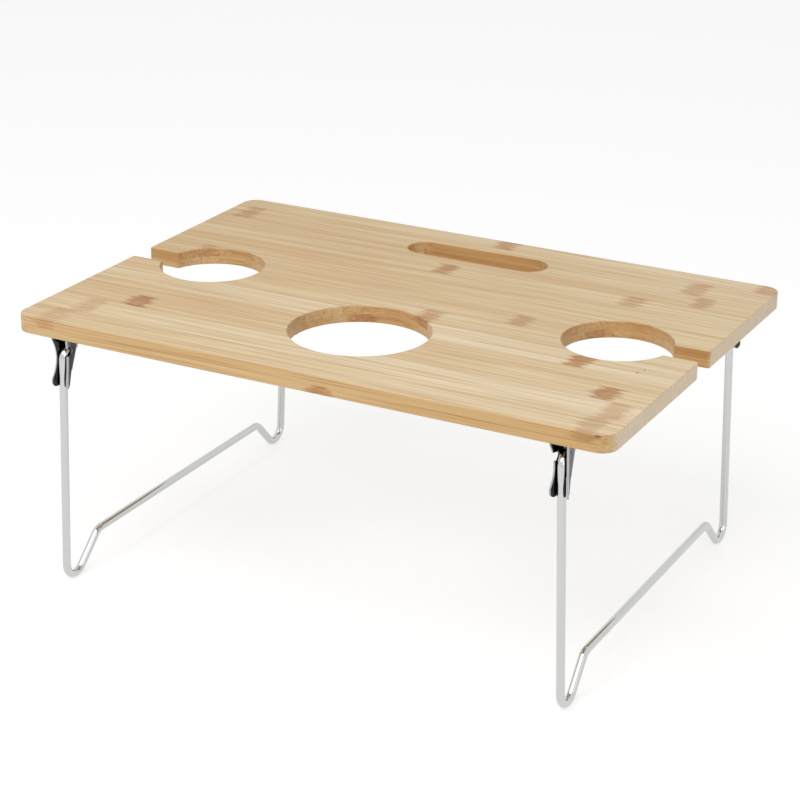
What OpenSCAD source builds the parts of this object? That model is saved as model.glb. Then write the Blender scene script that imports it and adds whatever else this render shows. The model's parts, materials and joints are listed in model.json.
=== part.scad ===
// Folding picnic table for wine: a bamboo board with one large round hole,
// two keyhole slots that are open to the ends and a hand-hold, on two wire
// legs that fold flat against its underside in four pressed steel clips.
// The origin is on the ground under the middle of the board. X runs along
// the board, the front edge faces -Y and +Z is up. Sizes are millimetres.

/* [Board] */
// Length of the board, end to end
board_len = 380; // [340:1:460]
// Width of the board, front edge to back edge
board_wid = 268; // [250:1:330]
// Thickness of the laminated bamboo
board_thk = 10.5; // [8.5:0.5:14]
// Radius of the four corners, seen from above
corner_r = 10; // [6:1:24]
// Height of the eased edge, top and bottom
edge_ease = 0.5; // [0.4:0.1:1.5]

/* [Round hole] */
// Diameter of the large round hole
bottle_hole_d = 84; // [78:1:94]
// Distance of its centre from the front edge
bottle_hole_inset = 76; // [60:1:84]

/* [Keyhole slots] */
// Diameter of the round part
keyhole_d = 65; // [54:1:74]
// Distance of its centre from the end of the board
keyhole_inset = 53; // [46:1:62]
// Width of the channel from the end of the board to the round part
channel_w = 18; // [14:1:26]
// Radius at the two mouth corners of the channel
mouth_r = 2; // [1.9:0.1:5]

/* [Hand-hold] */
// Length of the hand-hold, end to end
hand_len = 96; // [80:1:120]
// Width of the hand-hold
hand_w = 24; // [20:1:30]
// Distance of its centre line from the back edge
hand_inset = 37; // [28:1:44]

/* [Wire legs] */
// Diameter of the wire
wire_d = 5; // [4:0.1:6]
// Distance from the pivot axis to the lowest point of the wire's centre line
leg_len = 150; // [120:1:158]
// Distance from the end of the board to the pivot axis
leg_inset = 30; // [24:1:40]
// Distance from the front or back edge to the upright wire's centre line
leg_edge = 6; // [4:0.5:12]
// Distance from the underside of the board down to the pivot axis
pivot_drop = 9; // [8:0.5:14]
// Outward lean of an open leg, in degrees
splay = 2; // [0:0.5:6]
// Centre line radius of the bend at the pivot
pivot_bend_r = 6; // [5:0.5:8]
// Centre line radius of the bends at the foot
foot_bend_r = 9; // [7:0.5:14]
// Height of the crossbar above the foot, centre line to centre line
crossbar_rise = 20; // [14:1:30]
// Slope of the wire between foot and crossbar, in degrees
rise_angle = 45; // [35:1:60]
// Length of pivot wire that stands out behind the clip
stub_out = 3.4; // [2:0.1:8]

/* [Leg clips] */
// Thickness of the pressed sheet
clip_thk = 1.2; // [0.8:0.1:1.6]
// Width of the mounting flange, along the board
flange_w = 19; // [17:0.5:26]
// Depth of the mounting flange, from the top of the web inwards
flange_depth = 14; // [12:0.5:20]
// Radius of the flange's two free corners
flange_corner_r = 4; // [2:0.5:6]
// Distance from the wire's centre line back to the web, at the pivot
web_set = 7.8; // [7.2:0.1:9.5]
// Slant of the web, which comes forward to the wire lower down, in degrees
web_slant = 20; // [12:1:24]
// How far the web reaches below the pivot axis
web_drop = 12.5; // [9:0.5:13]
// How far the lobes reach below the pivot axis
lobe_drop = 22.8; // [20:0.1:30]
// How far the lobes reach forward of the wire's centre
lobe_reach = 4; // [3.4:0.1:5]
// How far the narrow waist reaches forward of the wire's centre
waist_reach = 1.2; // [0.8:0.1:1.8]
// Flare of the lobes, seen from above, in degrees
lobe_flare = 25; // [15:1:35]
// Radius of the lobes' round ends
lobe_r = 2.6; // [2:0.1:3]
// Clearance between the wire and the sheet beside it
wire_gap = 0.3; // [0.2:0.05:0.6]
// Radial clearance of the pivot wire in its hole
pivot_gap = 0.08; // [0.03:0.01:0.1]

/* [Clip screws] */
// Diameter of the screw shank
screw_d = 2.8; // [2:0.1:3.4]
// Length of the screw below its head
screw_len = 7.5; // [5:0.5:8]
// Diameter of the pan head
screw_head_d = 5.4; // [4.6:0.1:6]
// Height of the pan head
screw_head_h = 1.7; // [1.2:0.1:2.2]
// Spacing of a clip's two screws, along the board
screw_pitch = 10.5; // [8:0.5:12]
// Distance of the screws from the top of the web
screw_set = 7; // [5:0.5:10]

/* [Hidden] */
$fn = 96;

wire_r = wire_d / 2;
pivot_z = leg_len * cos(splay) + wire_r;   // pivot axis above the ground
under_z = pivot_z + pivot_drop;            // underside of the board
leg_x = board_len / 2 - leg_inset;         // pivot axis from the middle
leg_y = board_wid / 2 - leg_edge;          // upright wires from the middle
hole_y = bottle_hole_inset - board_wid / 2;
keyhole_x = board_len / 2 - keyhole_inset;
hand_y = board_wid / 2 - hand_inset;

// Eased edge: an arc that crosses both faces at a slight crease
ease_centre = 1.25 * edge_ease;
ease_r = norm([ease_centre - edge_ease, ease_centre]);
ease_over = 0.3;    // how far the cutter passes each face
cut_over = 1;       // how far plain cutters pass a face

// Clip, with the wire's centre line and the pivot axis through the origin
groove_half = wire_r + wire_gap;           // inner half width of the groove
outer_half = groove_half + clip_thk;
flange_z = pivot_drop - clip_thk;          // lower face of the flange
web_run = tan(web_slant);                  // how far the web comes forward for each mm down
web_thk = clip_thk / cos(web_slant);       // its thickness, measured level
web_top = web_set + web_run * flange_z;    // its distance from the wire at the flange
web_end = min(web_drop, (web_set - groove_half - 0.1) / web_run);
web_low = web_set - web_run * web_end;     // its distance from the wire at its lower end
shelf_y = wire_r + wire_gap + 0.1;         // front of the inner lobe, behind the swinging wire
shelf_w = 3.4;                             // width of the inner lobe
swing_r = wire_r + 3;                      // room round the pivot for the wire's bend
swing_top = wire_r + 0.7;                  // room above the folded wire
pilot_gap = 0.05;                          // screw shank in its hole
recess_w = 0.9;                            // width of the cross recess
recess_depth = 0.9;

// Foot of a leg: the bend turns through a right angle and on up the slope
foot_turn = 90 + rise_angle;
bend_rise = foot_bend_r * (1 - cos(rise_angle));
slope_len = (crossbar_rise - 2 * bend_rise) / sin(rise_angle);
foot_y = leg_y - foot_bend_r;                             // lowest point of the foot
slope_y = foot_y - foot_bend_r * sin(rise_angle);         // start of the slope
shoulder_y = slope_y - slope_len * cos(rise_angle);       // end of the slope
crossbar_y = shoulder_y - foot_bend_r * sin(rise_angle);  // end of the crossbar
crossbar_z = crossbar_rise - leg_len;                     // crossbar from the pivot axis
bend_lap = 0.05;
bend_thinning = 0.01;
stub_len = web_set - pivot_bend_r + clip_thk + stub_out;
stub_chamfer = 0.6;

bamboo = [0.86, 0.72, 0.52];
chrome = [0.78, 0.79, 0.80];
spring_steel = [0.55, 0.56, 0.58];
screw_steel = [0.66, 0.66, 0.67];

// Board

// Plan of the board with every opening cut through it
module board_plan() {
    difference() {
        rounded_plan(board_len, board_wid, corner_r);
        translate([0, hole_y]) circle(d = bottle_hole_d);
        for (side = [-1, 1]) {
            translate([side * keyhole_x, 0]) circle(d = keyhole_d);
            translate([side * (keyhole_x + board_len / 2 + cut_over) / 2, 0])
                square([keyhole_inset + cut_over, channel_w], center = true);
            for (edge = [-1, 1])
                translate([side * board_len / 2, edge * channel_w / 2])
                    mouth_corner(side, edge);
        }
        translate([0, hand_y]) stadium(hand_len, hand_w);
    }
}

// Rectangle with four round corners
module rounded_plan(len, wid, r) {
    square([len - 2 * r, wid], center = true);
    square([len, wid - 2 * r], center = true);
    for (x = [-1, 1], y = [-1, 1])
        translate([x * (len / 2 - r), y * (wid / 2 - r)]) circle(r);
}

// Slot with two half-round ends
module stadium(len, wid) {
    square([len - wid, wid], center = true);
    for (x = [-1, 1]) translate([x * (len - wid) / 2, 0]) circle(d = wid);
}

// What is cut away to round a mouth corner of a channel
module mouth_corner(side, edge) {
    difference() {
        translate([side > 0 ? -mouth_r : 0, edge > 0 ? 0 : -mouth_r]) square(mouth_r);
        translate([-side * mouth_r, edge * mouth_r]) circle(mouth_r);
    }
}

// Section of the cutter that eases an edge: the edge is at the origin, the
// material lies towards +X and below the face at Y = 0
module ease_section() {
    difference() {
        translate([-ease_over, -edge_ease - ease_over])
            square([edge_ease + 2 * ease_over, edge_ease + 2 * ease_over]);
        translate([ease_centre, -ease_centre]) circle(ease_r);
    }
}

// Cutter along a straight edge from a point, towards an angle, with the
// material on its left
module ease_line(from, angle, len) {
    translate(from) rotate([0, 0, angle]) rotate([90, 0, 90])
        linear_extrude(height = len) ease_section();
}

// Cutter round the edge of a hole of radius r
module ease_hole(centre, r) {
    translate(centre) rotate_extrude() translate([r, 0]) ease_section();
}

// Cutter round part of the edge of a hole or, if it is convex, of a corner
module ease_arc(centre, r, start, sweep, convex) {
    translate(centre) rotate([0, 0, start]) rotate_extrude(angle = sweep)
        translate([r, 0]) mirror([convex ? 1 : 0, 0]) ease_section();
}

// All edges of one face of the board, with the face at Z = 0
module face_edges() {
    half_len = board_len / 2;
    half_wid = board_wid / 2;
    end_len = half_wid - corner_r - channel_w / 2 - mouth_r;
    channel_len = half_len - mouth_r - keyhole_x - keyhole_d / 2 + keyhole_d / 8;
    hand_half = (hand_len - hand_w) / 2;
    // outside
    ease_line([-(half_len - corner_r), -half_wid, 0], 0, board_len - 2 * corner_r);
    ease_line([half_len - corner_r, half_wid, 0], 180, board_len - 2 * corner_r);
    for (turn = [0, 180]) rotate([0, 0, turn]) {
        ease_arc([half_len - corner_r, half_wid - corner_r, 0], corner_r, 0, 90, true);
        ease_arc([half_len - corner_r, corner_r - half_wid, 0], corner_r, -90, 90, true);
        ease_line([half_len, corner_r - half_wid, 0], 90, end_len);
        ease_line([half_len, channel_w / 2 + mouth_r, 0], 90, end_len);
        // mouth and channel
        ease_arc([half_len - mouth_r, channel_w / 2 + mouth_r, 0], mouth_r, -90, 90, true);
        ease_arc([half_len - mouth_r, -channel_w / 2 - mouth_r, 0], mouth_r, 0, 90, true);
        ease_line([half_len - mouth_r - channel_len, channel_w / 2, 0], 0, channel_len);
        ease_line([half_len - mouth_r, -channel_w / 2, 0], 180, channel_len);
        ease_hole([keyhole_x, 0, 0], keyhole_d / 2);
    }
    // round hole and hand-hold
    ease_hole([0, hole_y, 0], bottle_hole_d / 2);
    ease_line([-hand_half, hand_y + hand_w / 2, 0], 0, 2 * hand_half);
    ease_line([hand_half, hand_y - hand_w / 2, 0], 180, 2 * hand_half);
    ease_arc([hand_half, hand_y, 0], hand_w / 2, -90, 180, false);
    ease_arc([-hand_half, hand_y, 0], hand_w / 2, 90, 180, false);
}

// Laminated bamboo board with eased edges and pilot holes underneath
module board() {
    color(bamboo)
    difference() {
        translate([0, 0, under_z]) linear_extrude(height = board_thk) board_plan();
        translate([0, 0, under_z + board_thk]) face_edges();
        translate([0, 0, under_z]) mirror([0, 0, 1]) face_edges();
        for (x = [-1, 1], y = [-1, 1], place = [-1, 1])
            at_clip(x, y) at_screw(place)
                translate([0, 0, -cut_over])
                    cylinder(d = screw_d + 2 * pilot_gap, h = screw_len - clip_thk + 2 * cut_over);
    }
}

// Wire legs

// Straight wire between two points of the leg's own Y-Z plane. It laps a
// little into the bend at each end.
module wire_run(from, to) {
    run = to - from;
    translate([0, from.x, from.y]) rotate([-atan2(run.x, run.y), 0, 0])
        translate([0, 0, -bend_lap])
            cylinder(r = wire_r, h = norm(run) + 2 * bend_lap);
}

// Bend in the leg's own Y-Z plane: angles count from +Y towards +Z. The wire
// is a hair thinner where it is bent.
module wire_bend(centre, r, start, sweep) {
    translate([0, centre.x, centre.y])
        rotate([90, 0, 90]) rotate([0, 0, start])
            rotate_extrude(angle = sweep) translate([r, 0]) circle(wire_r - bend_thinning);
}

// End of the crossbar, down the slope to the foot and up the side to the
// pivot. The pivot axis is the Y axis and the wire hangs down from it.
module half_leg() {
    pivot_y = leg_y - pivot_bend_r;
    translate([0, pivot_y - stub_len, 0]) rotate([-90, 0, 0]) {
        cylinder(r1 = wire_r - stub_chamfer, r2 = wire_r, h = stub_chamfer);
        translate([0, 0, stub_chamfer])
            cylinder(r = wire_r, h = stub_len - stub_chamfer + bend_lap);
    }
    wire_bend([pivot_y, -pivot_bend_r], pivot_bend_r, 0, 90);
    wire_run([leg_y, foot_bend_r - leg_len], [leg_y, -pivot_bend_r]);
    wire_bend([foot_y, foot_bend_r - leg_len], foot_bend_r, -foot_turn, foot_turn);
    wire_run([slope_y, bend_rise - leg_len], [shoulder_y, crossbar_z - bend_rise]);
    wire_bend([crossbar_y, crossbar_z - foot_bend_r], foot_bend_r, 90 - rise_angle, rise_angle);
}

// One bent wire: two uprights joined by a raised crossbar between two feet
module leg(side) {
    color(chrome)
    translate([side * leg_x, 0, pivot_z]) rotate([0, -side * splay, 0]) {
        half_leg();
        mirror([0, 1, 0]) half_leg();
        wire_run([-crossbar_y, crossbar_z], [crossbar_y, crossbar_z]);
    }
}

// Leg clips

// Places what is drawn for the back right clip at any of the four corners,
// with the wire's centre line on the pivot axis at the origin, the outside
// of the table towards +X and +Y
module at_clip(x, y) {
    translate([x * leg_x, y * leg_y, pivot_z])
        mirror([x < 0 ? 1 : 0, 0, 0]) mirror([0, y < 0 ? 1 : 0, 0])
            children();
}

// Places a screw on the flange's upper face, where it meets the board
module at_screw(place) {
    translate([place * screw_pitch / 2, -(web_top + screw_set), pivot_drop]) children();
}

// Lays a drawing whose X is the table's Y and whose Y is its Z on a plane
// across the board, and gives it a width along the board
module across(width) {
    rotate([90, 0, 90]) translate([0, 0, -width / 2]) linear_extrude(height = width) children();
}

// What the sheet fills, seen from above: two walls with flared lobes in front
module wall_section(deep) {
    lobe_len = (lobe_reach + clip_thk) / cos(lobe_flare);
    out = lobe_len * sin(lobe_flare);
    fore = lobe_len * cos(lobe_flare);
    step = [clip_thk * cos(lobe_flare), -clip_thk * sin(lobe_flare)];
    fold = clip_thk * tan(lobe_flare / 2);
    inset = 0.4;
    right = [
        [outer_half, -deep], [outer_half, -fold],
        [groove_half + out + step.x, fore + step.y], [groove_half + out, fore],
        [groove_half - inset * tan(lobe_flare), -inset]
    ];
    polygon(concat(right, [for (i = [len(right) - 1:-1:0]) [-right[i].x, right[i].y]]));
}

// Side outline of the walls: a full head, an arched waist at the pivot, a
// round-ended lobe and a back edge that runs forward to it below the web
module wall_side(deep, top) {
    lobe_y = lobe_reach - lobe_r;
    lobe_z = lobe_r - lobe_drop;
    arch_z = (top + lobe_z + lobe_r / 2) / 2;
    arch = lobe_reach - waist_reach;
    half = top - arch_z - 1;
    arch_r = (half * half + arch * arch) / (2 * arch);
    difference() {
        union() {
            polygon([
                [-deep, top], [lobe_reach, top], [lobe_reach, lobe_z], [lobe_y - lobe_r, lobe_z],
                [-web_low - web_thk + 0.3, -web_end - 0.4], [-deep, -web_end - 0.4]
            ]);
            translate([lobe_y, lobe_z]) circle(lobe_r);
        }
        translate([waist_reach + arch_r, arch_z]) circle(arch_r, $fn = 180);
    }
}

// Round bends between the web and the walls, which lean with the web
module web_bends(deep, top) {
    back = (web_set + web_thk) * cos(web_slant);
    bend_r = 1.5 * clip_thk;
    rotate([web_slant, 0, 0]) translate([0, -back, -2 * deep]) linear_extrude(height = 4 * deep) {
        translate([bend_r - outer_half, 0]) square([2 * (outer_half - bend_r), 4 * deep]);
        translate([-deep, bend_r]) square([2 * deep, 4 * deep]);
        for (x = [-1, 1]) translate([x * (outer_half - bend_r), bend_r]) circle(bend_r);
    }
}

// Inside of the groove: everything before the web and below its lower end
module groove(deep, top) {
    across(2 * groove_half)
        polygon([
            [-web_set - web_run * (top + cut_over), top + cut_over], [-web_low, -web_end],
            [-deep - cut_over, -web_end], [-deep - cut_over, -lobe_drop - cut_over],
            [deep, -lobe_drop - cut_over], [deep, top + cut_over]
        ]);
}

// What the leg sweeps through as it swings inwards: the inner wall is left
// open to the front, and has room round the pivot for the wire's bend
module swing_room(deep) {
    translate([-2 * deep, -shelf_y, -2 * deep]) cube([2 * deep - wire_r / 2, 2 * deep, 2 * deep + swing_top]);
    rotate([90, 0, 0]) translate([0, 0, shelf_y - cut_over])
        intersection() {
            cylinder(r = swing_r, h = web_set - web_run * swing_r - shelf_y + cut_over);
            translate([-2 * swing_r, -swing_r, 0]) cube([2 * swing_r - wire_r, 2 * swing_r, deep]);
        }
}

// Inner lobe: a low shelf that stands behind the wire, clear of its swing
module shelf() {
    r = shelf_w / 2;
    drop = lobe_drop - r;
    inner = groove_half + clip_thk / 2;
    translate([0, -shelf_y - 0.1, 0]) rotate([90, 0, 0]) linear_extrude(height = clip_thk) {
        translate([-inner - shelf_w, -drop]) square([shelf_w, drop - swing_r - 0.5]);
        translate([-inner - r, -drop]) circle(r);
    }
}

// Mounting flange with two round corners, its upper face against the board
module clip_flange() {
    straight = flange_depth - flange_corner_r;
    translate([0, -web_top, flange_z]) linear_extrude(height = clip_thk) {
        translate([-flange_w / 2, -straight]) square([flange_w, straight]);
        translate([flange_corner_r - flange_w / 2, -flange_depth])
            square([flange_w - 2 * flange_corner_r, flange_depth]);
        for (x = [-1, 1])
            translate([x * (flange_w / 2 - flange_corner_r), -straight]) circle(flange_corner_r);
    }
}

// Pressed spring steel clip: a flange, a slanted web and two walls that hold
// the wire between them
module clip(x, y) {
    deep = web_top + 2 * clip_thk;
    top = flange_z + clip_thk / 2;
    color(spring_steel)
    at_clip(x, y) difference() {
        union() {
            clip_flange();
            rotate([0, -splay, 0]) {
                difference() {
                    intersection() {
                        translate([0, 0, -lobe_drop - cut_over])
                            linear_extrude(height = lobe_drop + top + 2 * cut_over) wall_section(deep);
                        across(4 * outer_half) wall_side(deep, top);
                        web_bends(deep, top);
                    }
                    groove(deep, top);
                    swing_room(deep);
                }
                shelf();
            }
        }
        // hole for the pivot wire
        rotate([90, 0, 0]) cylinder(r = wire_r + pivot_gap, h = web_set + web_thk + 4 * cut_over);
        for (place = [-1, 1]) at_screw(place)
            translate([0, 0, -clip_thk - cut_over])
                cylinder(d = screw_d + 4 * pilot_gap, h = clip_thk + 2 * cut_over);
    }
}

// Clip screws

// Pan head screw with a cross recess, driven up through the flange
module clip_screw(x, y, place) {
    dome_r = (pow(screw_head_d / 2, 2) + pow(screw_head_h, 2)) / (2 * screw_head_h);
    tip = 1.2;
    color(screw_steel)
    at_clip(x, y) at_screw(place) translate([0, 0, -clip_thk]) {
        cylinder(d = screw_d, h = screw_len - tip);
        translate([0, 0, screw_len - tip]) cylinder(d1 = screw_d, d2 = screw_d / 4, h = tip);
        difference() {
            intersection() {
                translate([0, 0, dome_r - screw_head_h]) sphere(dome_r);
                translate([0, 0, -screw_head_h]) cylinder(d = screw_head_d, h = screw_head_h);
            }
            for (turn = [0, 90]) rotate([0, 0, turn])
                translate([-screw_head_d / 4, -recess_w / 2, -screw_head_h - cut_over])
                    cube([screw_head_d / 2, recess_w, recess_depth + cut_over]);
        }
    }
}

// Drawing

board();
leg(-1);  // leg_left
leg(1);  // leg_right
clip(-1, -1);  // clip_front_left
clip(1, -1);  // clip_front_right
clip(-1, 1);  // clip_back_left
clip(1, 1);  // clip_back_right
clip_screw(-1, -1, 1);  // screw_front_left_outer
clip_screw(-1, -1, -1);  // screw_front_left_inner
clip_screw(1, -1, 1);  // screw_front_right_outer
clip_screw(1, -1, -1);  // screw_front_right_inner
clip_screw(-1, 1, 1);  // screw_back_left_outer
clip_screw(-1, 1, -1);  // screw_back_left_inner
clip_screw(1, 1, 1);  // screw_back_right_outer
clip_screw(1, 1, -1);  // screw_back_right_inner
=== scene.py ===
"""Studio dressing of a folding picnic table for wine.

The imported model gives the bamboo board, the two wire legs, the pressed clips
and their screws at their real size and place. This script gives each of them
its finish, bends smooth wires over the legs, presses round-edged clips over
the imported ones, and sets the floor, the lamps and the camera. Lengths are
metres, but millimetres in PressedClip and where a name ends in _mm.
"""

import json
import logging
import math
from dataclasses import dataclass
from enum import Enum, IntEnum
from typing import Any

import bmesh
import bpy
from bmesh.types import BMEdge, BMVert, BMesh
from bpy.types import ColorRamp, Material, NodeSocket, NodeTree, Object
from mathutils import Matrix, Vector

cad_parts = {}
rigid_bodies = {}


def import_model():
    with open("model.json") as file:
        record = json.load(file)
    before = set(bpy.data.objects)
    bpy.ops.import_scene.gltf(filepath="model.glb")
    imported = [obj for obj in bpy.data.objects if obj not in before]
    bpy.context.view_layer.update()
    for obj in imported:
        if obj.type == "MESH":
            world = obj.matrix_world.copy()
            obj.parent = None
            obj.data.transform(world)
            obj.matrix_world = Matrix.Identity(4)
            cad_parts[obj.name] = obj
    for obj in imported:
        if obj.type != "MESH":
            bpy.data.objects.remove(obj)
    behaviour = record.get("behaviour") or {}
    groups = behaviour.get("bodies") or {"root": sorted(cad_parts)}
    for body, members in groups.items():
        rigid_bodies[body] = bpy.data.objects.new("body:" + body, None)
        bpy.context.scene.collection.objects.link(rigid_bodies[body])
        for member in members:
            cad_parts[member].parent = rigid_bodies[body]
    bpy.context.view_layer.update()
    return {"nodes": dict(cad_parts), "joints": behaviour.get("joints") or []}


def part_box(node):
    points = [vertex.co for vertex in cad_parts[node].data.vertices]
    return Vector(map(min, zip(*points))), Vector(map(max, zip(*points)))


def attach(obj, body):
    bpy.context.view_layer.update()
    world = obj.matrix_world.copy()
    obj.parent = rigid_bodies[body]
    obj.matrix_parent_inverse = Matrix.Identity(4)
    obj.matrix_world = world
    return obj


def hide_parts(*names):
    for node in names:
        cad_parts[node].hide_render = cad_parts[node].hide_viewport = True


for startup_object in list(bpy.data.objects):
    bpy.data.objects.remove(startup_object)
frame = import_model()

Triple = tuple[float, float, float]

LOG = logging.getLogger("wine_table")
MM = 0.001
WHITE = "#ffffff"
# Both legs lean outwards by this much, and their clips with them
SPLAY_DEG = 2.0

# Inputs of the Mix node when it mixes colours
MIX_A = 6
MIX_B = 7


class Corner(Enum):
    """The four leg clips, by the corner of the board that they sit under."""

    FRONT_LEFT = "front_left"
    FRONT_RIGHT = "front_right"
    BACK_LEFT = "back_left"
    BACK_RIGHT = "back_right"


class Side(Enum):
    """The two legs, by the end of the board that they stand under."""

    LEFT = -1
    RIGHT = 1


class ScrewHole(Enum):
    """The two screw holes in a clip's flange, by how near the board's end."""

    OUTER = "outer"
    INNER = "inner"


class Blend(Enum):
    """How a layer of colour goes over the wood."""

    COVER = "MIX"
    DEEPEN = "MULTIPLY"


class Column(IntEnum):
    """Columns of a clip's flat sheet, counted from the middle of its web."""

    WEB_EDGE = 2
    BEND_END = 4
    BACK = 5
    SLOT = 6
    FRONT = 9


def linear(colour: str) -> tuple[float, float, float, float]:
    """Turns an sRGB hex colour into the linear colour that shaders use.

    Args:
        colour: Six hex digits after a hash sign.

    Returns:
        Red, green, blue and an alpha of one.
    """
    channels = [int(colour[place:place + 2], 16) / 255 for place in (1, 3, 5)]
    red, green, blue = (
        channel / 12.92 if channel <= 0.04045 else ((channel + 0.055) / 1.055) ** 2.4
        for channel in channels
    )
    return red, green, blue, 1.0


def add(
    tree: NodeTree,
    kind: str,
    inputs: dict[int | str, Any] | None = None,
    **settings: Any,
) -> NodeSocket | None:
    """Adds a shader node, with its settings, values and links.

    Args:
        tree: The node tree that gets the node.
        kind: The node's type, without the words ShaderNode before it.
        inputs: A value, or the socket that feeds it, for each input.
        **settings: Properties of the node, such as its operation.

    Returns:
        The first output that these settings use, or None if the node has none.
    """
    node = tree.nodes.new("ShaderNode" + kind)
    for name, value in settings.items():
        setattr(node, name, value)
    for name, value in (inputs or {}).items():
        if isinstance(value, NodeSocket):
            tree.links.new(value, node.inputs[name])
        else:
            node.inputs[name].default_value = value
    return next((output for output in node.outputs if output.enabled), None)


def set_stops(ramp: ColorRamp, stops: dict[float, tuple], between: str = "LINEAR") -> None:
    """Sets a colour ramp's stops.

    Args:
        ramp: The colour ramp.
        stops: Red, green, blue and alpha at each place.
        between: How the ramp gets from one stop to the next.
    """
    ramp.interpolation = between
    elements = ramp.elements
    while len(elements) < len(stops):
        elements.new(1.0)
    for element, (place, values) in zip(elements, sorted(stops.items())):
        element.position = place
        element.color = values


def blank_material(name: str) -> tuple[Material, NodeTree]:
    """Makes a material with an empty node tree.

    Args:
        name: The material's name.

    Returns:
        The material and its tree.
    """
    material = bpy.data.materials.new(name)
    material.use_nodes = True
    material.node_tree.nodes.clear()
    return material, material.node_tree


def dress(piece: Object, *materials: Material) -> None:
    """Gives a piece these materials and no others.

    Args:
        piece: The piece that is dressed.
        *materials: One material for each slot.
    """
    # Clearing resets the slot of every face, so it is done only where it must
    if len(piece.data.materials):
        piece.data.materials.clear()
    for material in materials:
        piece.data.materials.append(material)


def finished_piece(name: str, bm: BMesh) -> Object:
    """Turns a bmesh into a piece in the scene, at the origin and unturned.

    Args:
        name: The piece's name.
        bm: The finished mesh, which is freed.

    Returns:
        The new object.
    """
    mesh = bpy.data.meshes.new(name)
    bm.to_mesh(mesh)
    bm.free()
    piece = bpy.data.objects.new(name, mesh)
    bpy.context.scene.collection.objects.link(piece)
    return piece


def hinge_point(body: str) -> Vector:
    """Finds a point on the axis of the hinge that turns a body.

    Args:
        body: The body that turns.

    Returns:
        The point.
    """
    joint = next(each for each in frame["joints"] if each["child"] == body)
    return Vector(joint["pos_m"])


@dataclass(frozen=True)
class Blemish:
    """A small dark mark in the wood.

    Attributes:
        centre_mm: Where it is.
        reach_mm: Half its size along each axis.
    """

    centre_mm: Triple
    reach_mm: Triple


@dataclass(frozen=True)
class ShadedPoint:
    """The point of the board whose colour a shader works out.

    Attributes:
        tree: The material's tree.
        coords: Object coordinates.
        facing: Object normal.
        along: Place along the board.
        across: Place across the board.
        upper: One in the upper ply and nought in the lower.
    """

    tree: NodeTree
    coords: Any
    facing: Any
    along: Any
    across: Any
    upper: Any

    def cells(self, size_mm: Triple) -> NodeSocket:
        """Measures the point's place in cells of a pattern.

        Args:
            size_mm: Size of a cell along each axis.

        Returns:
            Coordinates that grow by one from cell to cell.
        """
        per_metre = [1 / (size * MM) for size in size_mm]
        return add(
            self.tree, "VectorMath", {0: self.coords, 1: per_metre}, operation="MULTIPLY"
        )


@dataclass(frozen=True)
class Layer:
    """A colour that goes over the wood.

    Attributes:
        strength: How much of it, from nought to one.
        colour: Its hex colour.
        blend: How it goes over what is there.
    """

    strength: Any
    colour: str
    blend: Blend = Blend.COVER


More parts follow.
